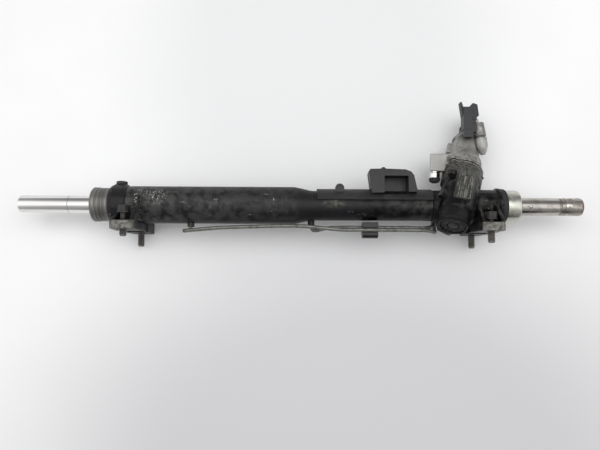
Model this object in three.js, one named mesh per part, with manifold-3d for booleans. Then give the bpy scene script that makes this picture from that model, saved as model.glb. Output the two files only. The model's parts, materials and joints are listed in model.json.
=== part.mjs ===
// Hydraulic power-steering rack and pinion, in millimetres, +Z up, lying on its rear side.
// X runs along the rack bar, -Y is the way the four mounting bolts point, and +Z faces away from
// the bench.
// The input tower stands beside the bar, leaning along +X and down towards the bench.
import * as THREE from "three";
import { mergeVertices } from "three/addons/utils/BufferGeometryUtils.js";
import Module from "manifold-3d";

const wasm = await Module();
wasm.setup();

// ---- Driving dimensions -------------------------------------------------------------------------

const BAR = { left: -405, right: 407, radius: 13, endBore: 7, endBoreDepth: 30 };
const GAP = 0.3; // clearance between pieces that touch or run in each other

const TOOTH = { module: 2, pressure: THREE.MathUtils.degToRad(22), shift: 0.35, count: 8, backlash: 0.2 };
const TOWER = { x: 225, lean: THREE.MathUtils.degToRad(16.5), tilt: THREE.MathUtils.degToRad(26) };
const RACK_TOOTH = { tipHeight: 8.5, count: 28 };

// The steel tube: its big left end is the hydraulic cylinder, and its slim right end fits into the
// gear housing.
const TUBE = {
  left: -298, cylinder: 27, slim: 21.5, bore: 22, rackBore: 15.5, right: 200, spigotFrom: 188, spigot: 18.6,
};
const CHAMBER = { left: -163, right: 0 };
const PISTON_WIDTH = 12.4;

// The left mount's ring slides on to the tube from the left, up to the cylinder's shoulder.
const SHOULDER = { x: -246, radius: 25.1 };
// The gear housing, cast round the right end of the bar.
const CASE = {
  left: 189, slim: 22.6, hub: 24.5, right: 294.2, ridge: [282.5, 287], ridgeRadius: 26.8, neck: 22,
};

const EAR = { seat: -39, thickness: 12, reach: 60, boltZ: 45, hole: 5.6, corner: 7, flare: 4 };
const LEFT_MOUNT = { boltX: -241.5, from: -257, to: -224.5, ribs: [-254.5, -227], ribTops: [-14, 11] };
const RIGHT_MOUNT = { boltX: 261, from: 246.5, to: 277, ribs: [249, 274.5], ribTops: [0, 0] };
const BOLT = { shank: 5, length: 32, flange: 8.6, flangeHeight: 2.5, acrossFlats: 15, headHeight: 8 };

const PIPE_RADIUS = 2.9;
const NUT = { length: 3.2, acrossFlats: 9, hole: 3.6, bottom: 28.8, boss: 5 };

// The valve housing's flange sits on the pinion case's, and three screws join them from below.
const FLANGE = { bottom: 54.4, top: 58.5, radius: 26.8 };
const LUG = { radius: 6.2, hole: 3.3, pocket: 6.3, pocketDepth: 14 };
const LUGS = [
  { name: "left", angle: 0.86 * Math.PI, orbit: 24.6, top: 63 },
  { name: "right", angle: 0.08 * Math.PI, orbit: 24.4, top: 66 },
  { name: "front", angle: -0.74 * Math.PI, orbit: 25.5, top: 59.5 },
];

const SOLENOID = {
  top: new THREE.Vector3(265.2, 126.5, -10), end: new THREE.Vector3(270.2, 78.5, -10), radius: 8.3, can: 6.4,
};
const VALVE_PORTS = [{ x: -14, height: 80, face: 20.5 }, { x: -5, height: 66, face: 24.5 }];
// Each pipe leaves its port downwards, turns along the tube, and bends round its back to the valve housing.
const PIPES = [
  {
    name: "left", x: -157, z: 3, drop: -35.5, lane: 9, valve: VALVE_PORTS[0], steps: 116,
    start: [[-158.8, -36.4, 3], [-165, -37.8, 4.6], [-166.6, -38, 8.6], [-161, -37.6, 11], [-152, -37, 11.4],
      [-122, -34, 9], [-87, -32.4, 9], [0, -30.5, 9]],
    bends: [[152, -35.5, 9], [183, -36, 7], [194.5, -37.2, -3], [199, -34, -20], [201, -18, -37],
      [204, 2, -47], [211, 16, -51], [221, 30, -53.5], [226, 47, -53]],
  },
  {
    name: "right", x: 16, z: -5, drop: -31, lane: -5, valve: VALVE_PORTS[1], steps: 84,
    start: [[18.6, -35.4, -5], [23, -35.8, -5], [30, -34.2, -5], [44, -31.6, -5]],
    bends: [[150, -31, -5], [182, -31, -6], [193, -28.6, -12], [197.5, -20, -24], [201, -5, -35],
      [208, 9, -41], [220, 25, -46], [230.5, 38.5, -48]],
  },
];

// ---- Materials ----------------------------------------------------------------------------------

const material = (color, roughness, metalness) =>
  new THREE.MeshStandardMaterial({ color, roughness, metalness });
const MATERIALS = {
  castBlack: material(0x2b2c2e, 0.6, 0.2),
  steel: material(0xb9b9b6, 0.25, 1),
  chrome: material(0xd8d8d8, 0.12, 1),
  castAluminium: material(0x8b8c86, 0.55, 0.8),
  zinc: material(0xb4b5a8, 0.4, 0.9),
  boltSteel: material(0x4d4a45, 0.6, 0.7),
  rubber: material(0x151516, 0.7, 0),
  plastic: material(0x38393d, 0.5, 0),
  bronze: material(0x9a7d4c, 0.4, 0.9),
  ptfe: material(0x5b4636, 0.5, 0),
};

// ---- Frames -------------------------------------------------------------------------------------

// The rack frame's Z runs along the bar, from its left end to its right end.
const RACK_FRAME = new THREE.Matrix4().makeBasis(
  new THREE.Vector3(0, 1, 0),
  new THREE.Vector3(0, 0, 1),
  new THREE.Vector3(1, 0, 0),
);

const { module: MODULE, pressure: PRESSURE, shift: SHIFT, count: TEETH } = TOOTH;
const PITCH_RADIUS = (MODULE * TEETH) / (2 * Math.cos(TOWER.lean));
const RACK_DATUM = PITCH_RADIUS + SHIFT * MODULE; // from the pinion's axis to the rack's datum line
const CENTRE_DISTANCE = RACK_TOOTH.tipHeight + RACK_DATUM - MODULE;

// The tower's axis, and the normal from the bar's axis to it.
const AXIS = new THREE.Vector3(
  Math.sin(TOWER.lean),
  Math.cos(TOWER.lean) * Math.cos(TOWER.tilt),
  -Math.cos(TOWER.lean) * Math.sin(TOWER.tilt),
);
const NORMAL = new THREE.Vector3(0, Math.sin(TOWER.tilt), Math.cos(TOWER.tilt));
const SIDE = AXIS.clone().cross(NORMAL);
const CROSSING = NORMAL.clone().multiplyScalar(CENTRE_DISTANCE).setX(TOWER.x);

// The tower frame's Z runs up the tower, X to its right and Y from the pinion towards the bar.
const TOWER_FRAME = new THREE.Matrix4().makeBasis(SIDE, NORMAL.clone().negate(), AXIS).setPosition(CROSSING);

// The yoke frame's Z runs from the bar's axis away from the pinion.
const ALONG = new THREE.Vector3(1, 0, 0);
const YOKE_DIRECTION = NORMAL.clone().negate();
const YOKE_FRAME = new THREE.Matrix4()
  .makeBasis(ALONG, YOKE_DIRECTION.clone().cross(ALONG), YOKE_DIRECTION)
  .setPosition(TOWER.x, 0, 0);

// ---- Helpers ------------------------------------------------------------------------------------

function toSolid(geometry, frame = new THREE.Matrix4()) {
  const bare = new THREE.BufferGeometry().setAttribute("position", geometry.getAttribute("position").clone());
  if (geometry.index) bare.setIndex(geometry.index.clone());
  bare.applyMatrix4(frame);
  const merged = mergeVertices(bare, 1e-3);
  return new wasm.Manifold(
    new wasm.Mesh({
      numProp: 3,
      vertProperties: merged.getAttribute("position").array,
      triVerts: new Uint32Array(merged.index.array),
    }),
  );
}

function toGeometry(solid) {
  const mesh = solid.getMesh();
  const positions = new Float32Array(mesh.numVert * 3);
  for (let i = 0; i < mesh.numVert; i++) {
    positions.set(mesh.vertProperties.subarray(i * mesh.numProp, i * mesh.numProp + 3), i * 3);
  }
  const geometry = new THREE.BufferGeometry();
  geometry.setAttribute("position", new THREE.BufferAttribute(positions, 3));
  geometry.setIndex(new THREE.BufferAttribute(mesh.triVerts, 1));
  geometry.computeVertexNormals();
  return geometry;
}

const joined = (solids) => solids.reduce((sum, solid) => sum.add(solid));
const without = (solid, cutters) => cutters.reduce((left, cutter) => left.subtract(cutter), solid);

// A body of revolution about Z from [radius, height] points, which start and end on the axis or make
// a closed ring.
function turned(points, segments = 16) {
  const ring = points[0][0] > 0;
  const outline = ring ? [...points, points[0]] : points;
  let area = 0;
  outline.forEach(([r, z], i) => {
    const [nextR, nextZ] = outline[(i + 1) % outline.length];
    area += r * nextZ - nextR * z;
  });
  const ordered = area > 0 ? outline : [...outline].reverse();
  const geometry = new THREE.LatheGeometry(ordered.map(([r, z]) => new THREE.Vector2(r, z)), segments);
  return geometry.rotateX(Math.PI / 2);
}

const rod = (radius, from, to, segments = 16) =>
  turned([[0, from], [radius, from], [radius, to], [0, to]], segments);
const tube = (inner, outer, from, to, segments = 16) =>
  turned([[inner, from], [outer, from], [outer, to], [inner, to]], segments);

// A flat outline of [x, y] points, extruded along Z.
function slab(points, from, to) {
  const shape = new THREE.Shape(points.map(([x, y]) => new THREE.Vector2(x, y)));
  return new THREE.ExtrudeGeometry(shape, { depth: to - from, bevelEnabled: false }).translate(0, 0, from);
}

const polygon = (sides, radius, turn = 0) =>
  Array.from({ length: sides }, (_, i) => {
    const angle = turn + (i * 2 * Math.PI) / sides;
    return [radius * Math.cos(angle), radius * Math.sin(angle)];
  });

const hexagon = (acrossFlats, turn = 0) => polygon(6, acrossFlats / Math.sqrt(3), turn);
const box = (x, y, z) =>
  slab([[x[0], y[0]], [x[1], y[0]], [x[1], y[1]], [x[0], y[1]]], z[0], z[1]);

// A straight frame whose Z points along a direction from a point.
function pointing(origin, direction, up = new THREE.Vector3(1, 0, 0)) {
  const z = direction.clone().normalize();
  const y = z.clone().cross(up).normalize();
  return new THREE.Matrix4().makeBasis(y.clone().cross(z), y, z).setPosition(origin);
}

// Moves a shape on the tower's axis to a screw lug.
const atLug = (geometry, { angle, orbit }) =>
  geometry.clone().translate(orbit * Math.cos(angle), orbit * Math.sin(angle), 0);

const vector = (x, y, z) => new THREE.Vector3(x, y, z);
const UP = vector(0, 1, 0);
const DOWN = vector(0, -1, 0);

// ---- Scene graph --------------------------------------------------------------------------------

const steeringGear = new THREE.Group();
const rackLine = new THREE.Group();
const tower = new THREE.Group();
const yokeLine = new THREE.Group();
RACK_FRAME.decompose(rackLine.position, rackLine.quaternion, rackLine.scale);
TOWER_FRAME.decompose(tower.position, tower.quaternion, tower.scale);
YOKE_FRAME.decompose(yokeLine.position, yokeLine.quaternion, yokeLine.scale);
steeringGear.add(rackLine, tower, yokeLine);

function addPart(parent, name, shape, finish) {
  const geometry = shape.isBufferGeometry ? shape : toGeometry(shape);
  const mesh = new THREE.Mesh(geometry, finish);
  mesh.name = name;
  parent.add(mesh);
  return mesh;
}

// ---- Mounting ears ------------------------------------------------------------------------------

// Frames whose XY plane is the part's XZ plane, for outlines seen from the mounting side, and its YZ plane.
const PLAN_FRAME = new THREE.Matrix4().makeBasis(vector(1, 0, 0), vector(0, 0, -1), vector(0, 1, 0));
const SECTION_FRAME = new THREE.Matrix4().makeBasis(vector(0, 1, 0), vector(0, 0, 1), vector(1, 0, 0));

// An ear's plan: a tongue that reaches out from the bar's axis, a little wider at its root, with
// rounded corners.
function earOutline({ from, to }, side) {
  const { reach, corner, flare } = EAR;
  const points = [[from - flare, 12]];
  for (const [centre, start] of [[from + corner, Math.PI], [to - corner, Math.PI / 2]]) {
    for (let i = 0; i <= 3; i++) {
      const angle = start - (i * Math.PI) / 6;
      points.push([centre + corner * Math.cos(angle), reach - corner + corner * Math.sin(angle)]);
    }
  }
  points.push([to + flare / 2, 12]);
  return points.map(([x, z]) => [x, -side * z]);
}

// A web from the middle of the mount out to an ear's tip, rising to the tube's side.
function ribOutline(top, side) {
  const tall = top > 5;
  const points = [
    [EAR.seat + 1, -0.5], [EAR.seat + 1, EAR.reach - 4], [EAR.seat + EAR.thickness, EAR.reach - 3],
    [top, tall ? 40 : 31], [top + 3, 18], [-12, -0.5],
  ].map(([y, z]) => [y, side * z]);
  return side > 0 ? points : points.reverse();
}

const RIB_THICKNESS = 5;

function mountSolids(mount) {
  return [1, -1].flatMap((side) => [
    toSolid(slab(earOutline(mount, side), EAR.seat, EAR.seat + EAR.thickness), PLAN_FRAME),
    ...mount.ribs.map((x, i) => toSolid(
      slab(ribOutline(mount.ribTops[i], side), x - RIB_THICKNESS / 2, x + RIB_THICKNESS / 2), SECTION_FRAME,
    )),
  ]);
}

const boltFrame = ({ boltX }, side, y = 0) => pointing(vector(boltX, y, side * EAR.boltZ), DOWN);
const mountHoles = (mount) =>
  [1, -1].map((side) => toSolid(rod(EAR.hole, 20, 50, 20), boltFrame(mount, side)));

// ---- Steel tube ---------------------------------------------------------------------------------

const ROUND = 24; // sides of the large round surfaces, which meet each other
const PLUG = { x: -259, bossRadius: 9.5, bossTop: 29.5, radius: 5.1 };
const PLUG_FRAME = pointing(vector(PLUG.x, 0, 0), UP);
const plugHole = () => toSolid(rod(PLUG.radius + 0.4, 15, 40), PLUG_FRAME);

function steelTube() {
  const { left, cylinder, slim, bore, rackBore, right, spigotFrom, spigot } = TUBE;
  const outside = turned([
    [0, left], [23.4, left], [25, -296], [25, -294], [24, -292], [25, -290], [24.1, -287], [24.1, -274],
    [SHOULDER.radius, -273], [SHOULDER.radius, SHOULDER.x], [cylinder, SHOULDER.x], [cylinder, -8],
    [slim + 3.2, 3], [slim + 0.6, 14], [slim, 20], [slim, spigotFrom], [spigot, spigotFrom], [spigot, right],
    [0, right],
  ], ROUND);
  const inside = turned([
    [0, left - 1], [bore, left - 1], [bore, CHAMBER.right], [17, CHAMBER.right + 0.01], [17, 13],
    [rackBore, 13.01], [rackBore, right + 1], [0, right + 1],
  ], 20);
  const bosses = PIPES.map(({ x, z }) =>
    toSolid(rod(NUT.boss, 18, NUT.bottom - GAP, 16), pointing(vector(x, 0, z), DOWN)));
  const solid = joined([toSolid(outside, RACK_FRAME), ...bosses]);
  return without(solid, [toSolid(inside, RACK_FRAME), plugHole()]);
}
addPart(steeringGear, "cylinder_tube", steelTube(), MATERIALS.castBlack);

// ---- Left mount ---------------------------------------------------------------------------------

function leftMount() {
  const inner = SHOULDER.radius + GAP;
  const outerInner = TUBE.cylinder + GAP;
  const end = SHOULDER.x - GAP;
  const ring = turned([
    [0, -271], [27.3, -271], [29.4, -266], [29.4, -252], [outerInner, end], [0, end],
  ], ROUND);
  const tubeSpace = turned([
    [0, -280], [inner, -280], [inner, end], [outerInner, end], [outerInner, -200], [0, -200],
  ], ROUND);
  return without(
    joined([
      toSolid(ring, RACK_FRAME),
      toSolid(rod(PLUG.bossRadius, 20, PLUG.bossTop, 20), PLUG_FRAME),
      ...mountSolids(LEFT_MOUNT),
    ]),
    [toSolid(tubeSpace, RACK_FRAME), plugHole(), ...mountHoles(LEFT_MOUNT)],
  );
}
addPart(steeringGear, "left_mount", leftMount(), MATERIALS.castBlack);

// ---- Gear housing -------------------------------------------------------------------------------

const PINION_CASE = { radius: 25, foot: 23, footShift: -2, bottom: -45.5, step: -24, top: 52.6, flange: 34 };
const YOKE_CASE = { radius: 20, end: 47.5 };
const BEARING = { bottom: -28, top: -18, inner: 6, outer: 16 };
const UPPER_SEAT = { bottom: 17, radius: 16 };
const LOWER_CAP_RADIUS = 17.6;

// The rack's part of the gear housing, from where the steel tube enters it to the boot ring's neck.
function housingOutside() {
  const { left, slim, hub, right, ridge, ridgeRadius, neck } = CASE;
  return toSolid(turned([
    [0, left], [slim, left], [slim + 0.6, left + 2], [slim + 0.6, 198], [hub, 232], [hub, ridge[0] - 1.5],
    [ridgeRadius, ridge[0]], [ridgeRadius, ridge[1]], [neck, ridge[1]], [neck, right], [0, right],
  ], ROUND), RACK_FRAME);
}

// A rib from under the flange down to the tube, in the tower's frame.
const towerRib = () =>
  slab([[-20, -12], [-30.5, -8], [-27, 19], [-20, 19]], -5, 5)
    .rotateX(Math.PI / 2)
    .rotateZ(0.14 * Math.PI);

function housingCastings() {
  const { radius, foot, footShift, bottom, step, top, flange } = PINION_CASE;
  const pinionCase = turned([
    [0, step - 1], [foot, step - 1], [radius, step + 1], [radius, flange - 2], [FLANGE.radius, flange],
    [FLANGE.radius, top], [0, top],
  ], 20);
  const footBoss = turned([
    [0, bottom], [foot - 3, bottom], [foot, bottom + 4], [foot, step + 1], [0, step + 1],
  ], 20);
  return [
    toSolid(pinionCase, TOWER_FRAME),
    toSolid(footBoss.translate(footShift, 0, 0), TOWER_FRAME),
    toSolid(box([-9, 14], [-radius - 1.4, -10], [-12, 26]), TOWER_FRAME),
    toSolid(rod(YOKE_CASE.radius, 0, YOKE_CASE.end, 20), YOKE_FRAME),
    ...LUGS.map((lug) => toSolid(atLug(rod(LUG.radius, flange, top, 12), lug), TOWER_FRAME)),
    toSolid(towerRib(), TOWER_FRAME),
    ...mountSolids(RIGHT_MOUNT),
  ];
}

function housingBores() {
  const { left, right } = CASE;
  const { bottom, top, flange } = PINION_CASE;
  const rackBore = turned([
    [0, left - 1], [TUBE.spigot + GAP, left - 1], [TUBE.spigot + GAP, TUBE.right + GAP],
    [TUBE.rackBore, TUBE.right + GAP], [TUBE.rackBore, right + 1], [0, right + 1],
  ], ROUND);
  const towerBore = turned([
    [0, bottom - 1], [LOWER_CAP_RADIUS + GAP, bottom - 1], [LOWER_CAP_RADIUS + GAP, -37.4],
    [BEARING.outer + 0.8, -37.4], [BEARING.outer + 0.8, BEARING.bottom], [BEARING.outer, BEARING.bottom],
    [BEARING.outer, BEARING.top], [12.5, BEARING.top], [12.5, UPPER_SEAT.bottom],
    [UPPER_SEAT.radius, UPPER_SEAT.bottom], [UPPER_SEAT.radius, top + 1], [0, top + 1],
  ], 16);
  return [
    toSolid(rackBore, RACK_FRAME),
    toSolid(towerBore, TOWER_FRAME),
    toSolid(rod(14.5, 2, YOKE_CASE.end + 1), YOKE_FRAME),
    ...mountHoles(RIGHT_MOUNT),
    ...LUGS.flatMap((lug) => [
      toSolid(atLug(rod(LUG.hole, flange - 1, top + 1, 12), lug), TOWER_FRAME),
      toSolid(atLug(rod(LUG.pocket, flange - LUG.pocketDepth, flange, 16), lug), TOWER_FRAME),
    ]),
  ];
}

const housing = without(joined([housingOutside(), ...housingCastings()]), housingBores());
addPart(steeringGear, "rack_housing", housing, MATERIALS.castBlack);

// ---- Along the rack: bushes, seals and caps -----------------------------------------------------

const RUNNING = BAR.radius + GAP; // bore that the bar slides in
const INSIDE = TUBE.bore - GAP; // outside of what is pressed into the cylinder

addPart(rackLine, "left_end_bush", turned([
  [RUNNING, -297], [INSIDE, -297], [INSIDE, -263], [RUNNING, -263],
]), MATERIALS.bronze);
addPart(rackLine, "spacer_tube", tube(18, INSIDE, -262.7, -186), MATERIALS.steel);
addPart(rackLine, "left_seal_carrier", turned([
  [RUNNING, -185.7], [INSIDE, -185.7], [INSIDE, -178], [20.6, -177.5], [20.6, -174.5], [INSIDE, -174],
  [INSIDE, CHAMBER.left], [16, CHAMBER.left], [16, CHAMBER.left - 6], [RUNNING, CHAMBER.left - 6],
]), MATERIALS.castAluminium);
addPart(rackLine, "left_rod_seal", tube(RUNNING, 15.6, -168.7, CHAMBER.left - 0.5), MATERIALS.rubber);
addPart(rackLine, "inner_rod_seal", tube(RUNNING, 16.4, 0.3, 12.7), MATERIALS.rubber);
addPart(rackLine, "boot_seat_ring", turned([
  [CASE.neck + GAP, 287], [25.2, 287], [26, 288.4], [26, 290], [24.8, 291], [25.6, 292.6], [24.8, 293.9],
  [CASE.neck + GAP, 293.9],
], ROUND), MATERIALS.rubber);
addPart(rackLine, "right_end_cap", turned([
  [16, 294.5], [23.8, 294.5], [23.8, 309], [22.8, 312.8], [19.8, 315], [14.4, 315], [14.4, 312.4],
  [16, 312.4],
], ROUND), MATERIALS.zinc);
addPart(rackLine, "right_rod_bush", tube(RUNNING, 15.6, 299.7, 312.1), MATERIALS.bronze);
addPart(rackLine, "right_wiper_ring", turned([
  [RUNNING, 312.5], [14.05, 312.5], [14.05, 315.3], [15.2, 315.3], [14.6, 316.8], [RUNNING, 316.8],
]), MATERIALS.ptfe);

// ---- Rack bar -----------------------------------------------------------------------------------

const TOOTH_PITCH = Math.PI * MODULE;

// The gap cutter's outline in the bar's X and height above its axis: a milled flat with a tooth gap
// each pitch.
function rackCutter() {
  const { tipHeight, count } = RACK_TOOTH;
  const rootHeight = tipHeight - 2.25 * MODULE;
  const datumHeight = tipHeight - MODULE;
  const half = (height) => TOOTH_PITCH / 4 + TOOTH.backlash / 2 + (height - datumHeight) * Math.tan(PRESSURE);
  const first = TOWER.x - (count / 2) * TOOTH_PITCH;
  const above = BAR.radius + 2;
  const outline = [[first - 4, above], [first - 1, tipHeight]];
  for (let i = 0; i < count; i++) {
    const middle = first + (i + 0.5) * TOOTH_PITCH;
    outline.push([middle - half(tipHeight), tipHeight], [middle - half(rootHeight), rootHeight]);
    outline.push([middle + half(rootHeight), rootHeight], [middle + half(tipHeight), tipHeight]);
  }
  const last = first + count * TOOTH_PITCH;
  outline.push([last + 1, tipHeight], [last + 4, above]);
  const across = vector(0, Math.cos(TOWER.tilt), -Math.sin(TOWER.tilt));
  const frame = new THREE.Matrix4().makeBasis(vector(1, 0, 0), NORMAL, across.clone().negate());
  return toSolid(slab(outline.reverse(), -16, 16), frame);
}

const PISTON_X = (CHAMBER.left + CHAMBER.right) / 2;
const PISTON_GROOVE = 12;

function rackBar() {
  const { left, right, radius, endBore, endBoreDepth } = BAR;
  const half = PISTON_WIDTH / 2;
  const body = turned([
    [0, left + endBoreDepth], [endBore, left + endBoreDepth - 3], [endBore, left + 1], [endBore + 1, left],
    [radius - 2, left], [radius, left + 3], [radius, PISTON_X - half], [PISTON_GROOVE, PISTON_X - half],
    [PISTON_GROOVE, PISTON_X + half], [radius, PISTON_X + half], [radius, 371], [radius - 0.5, 372.5],
    [radius - 0.5, 379.5], [radius, 381], [radius, right - 4], [radius - 1, right - 1.2], [radius - 3, right],
    [endBore + 0.6, right], [endBore, right - 1], [endBore, right - endBoreDepth + 3],
    [0, right - endBoreDepth],
  ], 28);
  return toSolid(body, RACK_FRAME).subtract(rackCutter());
}

addPart(steeringGear, "rack_bar", rackBar(), MATERIALS.chrome);

const PISTON_RADIUS = TUBE.bore - 0.6;
const PISTON_HALF = PISTON_WIDTH / 2 - GAP;
addPart(rackLine, "rack_piston", turned([
  [PISTON_GROOVE + GAP, PISTON_X - PISTON_HALF], [PISTON_RADIUS, PISTON_X - PISTON_HALF],
  [PISTON_RADIUS, PISTON_X - 3], [PISTON_RADIUS - 3, PISTON_X - 3], [PISTON_RADIUS - 3, PISTON_X + 3],
  [PISTON_RADIUS, PISTON_X + 3], [PISTON_RADIUS, PISTON_X + PISTON_HALF],
  [PISTON_GROOVE + GAP, PISTON_X + PISTON_HALF],
]), MATERIALS.steel);
const pistonRing = tube(PISTON_RADIUS - 2.7, TUBE.bore - 0.35, PISTON_X - 2.7, PISTON_X + 2.7);
addPart(rackLine, "piston_ring", pistonRing, MATERIALS.ptfe);

// ---- Pinion -------------------------------------------------------------------------------------

const FACE = 15; // half the pinion's face width
const TIP_RADIUS = 10.9;
const ROOT_RADIUS = PITCH_RADIUS - (1.25 - SHIFT) * MODULE;

// One transverse section: involute flanks on a base circle, with the tooth gap on the +Y side at Z = 0.
function pinionSection() {
  const transverse = Math.atan(Math.tan(PRESSURE) / Math.cos(TOWER.lean));
  const base = PITCH_RADIUS * Math.cos(transverse);
  const involute = (angle) => Math.tan(angle) - angle;
  const normalThickness = MODULE * (Math.PI / 2 + 2 * SHIFT * Math.tan(PRESSURE)) - TOOTH.backlash;
  const thickness = normalThickness / Math.cos(TOWER.lean);
  const halfAngle = (radius) => {
    const angle = Math.acos(Math.min(1, base / Math.max(radius, base)));
    return thickness / (2 * PITCH_RADIUS) + involute(transverse) - involute(angle);
  };
  const flank = [ROOT_RADIUS, base, 9.2, TIP_RADIUS];
  const points = [];
  for (let i = 0; i < TEETH; i++) {
    const middle = Math.PI / 2 + ((i + 0.5) * 2 * Math.PI) / TEETH;
    const at = (radius, angle) => [radius * Math.cos(middle + angle), radius * Math.sin(middle + angle)];
    flank.forEach((radius) => points.push(at(radius, -halfAngle(radius))));
    [...flank].reverse().forEach((radius) => points.push(at(radius, halfAngle(radius))));
  }
  return points;
}

function pinionTeeth() {
  const shape = new THREE.Shape(pinionSection().map(([x, y]) => new THREE.Vector2(x, y)));
  const geometry = new THREE.ExtrudeGeometry(shape, { depth: 2 * FACE, steps: 5, bevelEnabled: false });
  geometry.translate(0, 0, -FACE);
  const position = geometry.getAttribute("position");
  const point = new THREE.Vector3();
  const up = vector(0, 0, 1);
  for (let i = 0; i < position.count; i++) {
    point.fromBufferAttribute(position, i);
    point.applyAxisAngle(up, (point.z * Math.tan(TOWER.lean)) / PITCH_RADIUS);
    position.setXYZ(i, point.x, point.y, point.z);
  }
  return toSolid(geometry);
}

function pinion() {
  const shaft = turned([
    [0, -38], [5, -38], [5.7, -37.3], [5.7, -17.6], [7.6, -17.6], [7.6, -FACE],
    [ROOT_RADIUS - 0.1, 1 - FACE], [ROOT_RADIUS - 0.1, FACE - 1], [9.4, FACE + 1], [9.4, 38], [13.2, 40],
    [13.2, 58], [11.2, 58], [11.2, 46], [3.9, 46], [3.9, 24], [0, 24],
  ]);
  return pinionTeeth().add(toSolid(shaft));
}

addPart(tower, "pinion", pinion(), MATERIALS.steel);

// Lower ball bearing, with its cage and balls as one piece.
const BALL = { radius: 2.2, orbit: 11, count: 6 };
const bearingRing = (inner, outer) => tube(inner, outer, BEARING.bottom + 0.2, BEARING.top - 0.2);
addPart(tower, "lower_bearing_inner", bearingRing(BEARING.inner, 8.6), MATERIALS.steel);
addPart(tower, "lower_bearing_outer", bearingRing(13.4, BEARING.outer - GAP), MATERIALS.steel);

function ballCage() {
  const middle = (BEARING.bottom + BEARING.top) / 2;
  const band = toSolid(tube(10.3, 11.7, middle - 1.3, middle + 1.3, 16));
  const balls = Array.from({ length: BALL.count }, (_, i) => {
    const angle = (i * 2 * Math.PI) / BALL.count;
    const ball = new THREE.SphereGeometry(BALL.radius, 6, 4);
    return toSolid(ball.translate(BALL.orbit * Math.cos(angle), BALL.orbit * Math.sin(angle), middle));
  });
  return joined([band, ...balls]);
}
addPart(tower, "lower_bearing_cage", ballCage(), MATERIALS.steel);

const lockNut = toSolid(slab(hexagon(17), -36, -28.4)).subtract(toSolid(rod(6, -37, -28, 24)));
addPart(tower, "pinion_lock_nut", lockNut, MATERIALS.steel);
addPart(tower, "pinion_lower_cap", turned([
  [0, -43.8], [7, -43.8], [7, -41.4], [8.5, -41.4], [8.5, -43.8], [16.4, -43.8], [LOWER_CAP_RADIUS, -42.8],
  [LOWER_CAP_RADIUS, -37.8], [15, -37.8], [15, -39.6], [0, -39.6],
]), MATERIALS.castBlack);

const upperRing = (from, to) => tube(9.8, UPPER_SEAT.radius - GAP, from, to);
addPart(tower, "upper_roller_bearing", upperRing(UPPER_SEAT.bottom + GAP, 29), MATERIALS.steel);
addPart(tower, "pinion_shaft_seal", upperRing(29.4, 36), MATERIALS.rubber);

// ---- Yoke on the far side of the bar ------------------------------------------------------------

function yoke() {
  const body = turned([[0, 6], [14.1, 6], [14.1, 33], [8, 33], [8, 23], [0, 23]]);
  return toSolid(body).subtract(toSolid(rod(BAR.radius + GAP, -40, 40, 20), SECTION_FRAME));
}
addPart(yokeLine, "yoke", yoke(), MATERIALS.castAluminium);

class Coil extends THREE.Curve {
  constructor(radius, from, to, turns) {
    super();
    Object.assign(this, { radius, from, to, turns });
  }
  getPoint(t, target = new THREE.Vector3()) {
    const angle = t * this.turns * 2 * Math.PI;
    const z = this.from + t * (this.to - this.from);
    return target.set(this.radius * Math.cos(angle), this.radius * Math.sin(angle), z);
  }
}
function swept(path, radius, sides, steps) {
  const section = new THREE.Shape(polygon(sides, radius).map(([x, y]) => new THREE.Vector2(x, y)));
  return new THREE.ExtrudeGeometry(section, { steps, bevelEnabled: false, extrudePath: path });
}
addPart(yokeLine, "yoke_spring", swept(new Coil(5.8, 24.6, 35.2, 3.5), 1.2, 5, 28), MATERIALS.steel);

function yokeAdjuster() {
  const body = toSolid(turned([[0, 36.8], [14.1, 36.8], [14.1, 49.2], [12.6, 50.4], [0, 50.4]]));
  return body.subtract(toSolid(slab(hexagon(14), 44.5, 52)));
}
addPart(yokeLine, "yoke_adjuster", yokeAdjuster(), MATERIALS.zinc);

// ---- Valve: sleeve, input shaft and torsion bar -------------------------------------------------

const VALVE = { sleeveRadius: 13.5, bore: 13.8, bottom: 59, top: 112 };

function valveSleeve() {
  const { sleeveRadius, bottom, top } = VALVE;
  const groove = (a, b) => [
    [sleeveRadius, a], [sleeveRadius - 1, a + 0.6], [sleeveRadius - 1, b - 0.6], [sleeveRadius, b],
  ];
  return turned([
    [11.4, bottom], [sleeveRadius, bottom], ...groove(70, 75), ...groove(92, 97), [sleeveRadius, top],
    [11.4, top],
  ]);
}
addPart(tower, "valve_sleeve", valveSleeve(), MATERIALS.steel);

const INPUT = { top: 157.7, splineFrom: 144, pin: 151, radius: 8.6, core: 7.7, splines: 10 };
const PIN_FRAME = pointing(vector(0, 0, INPUT.pin), vector(1, 0, 0), vector(0, 0, 1));
function inputShaft() {
  const { top, splineFrom, radius, core, splines } = INPUT;
  const shaft = toSolid(turned([
    [4.3, 47], [10.8, 47], [10.8, 116], [9, 117], [9, 141.5], [core, 143.5], [core, top - 1],
    [core - 1, top], [4.9, top], [4.3, top - 1],
  ]));
  const spline = [];
  for (let i = 0; i < splines; i++) {
    for (const [share, r] of [[0, core], [0.25, radius], [0.5, radius], [0.75, core]]) {
      const angle = ((i + share) * 2 * Math.PI) / splines;
      spline.push([r * Math.cos(angle), r * Math.sin(angle)]);
    }
  }
  const ridges = toSolid(slab(spline, splineFrom, top - 1.5)).subtract(toSolid(rod(7, 140, 170)));
  return shaft.add(ridges).subtract(toSolid(rod(1.6, -12, 12, 10), PIN_FRAME));
}
addPart(tower, "input_shaft", inputShaft(), MATERIALS.steel);

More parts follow.
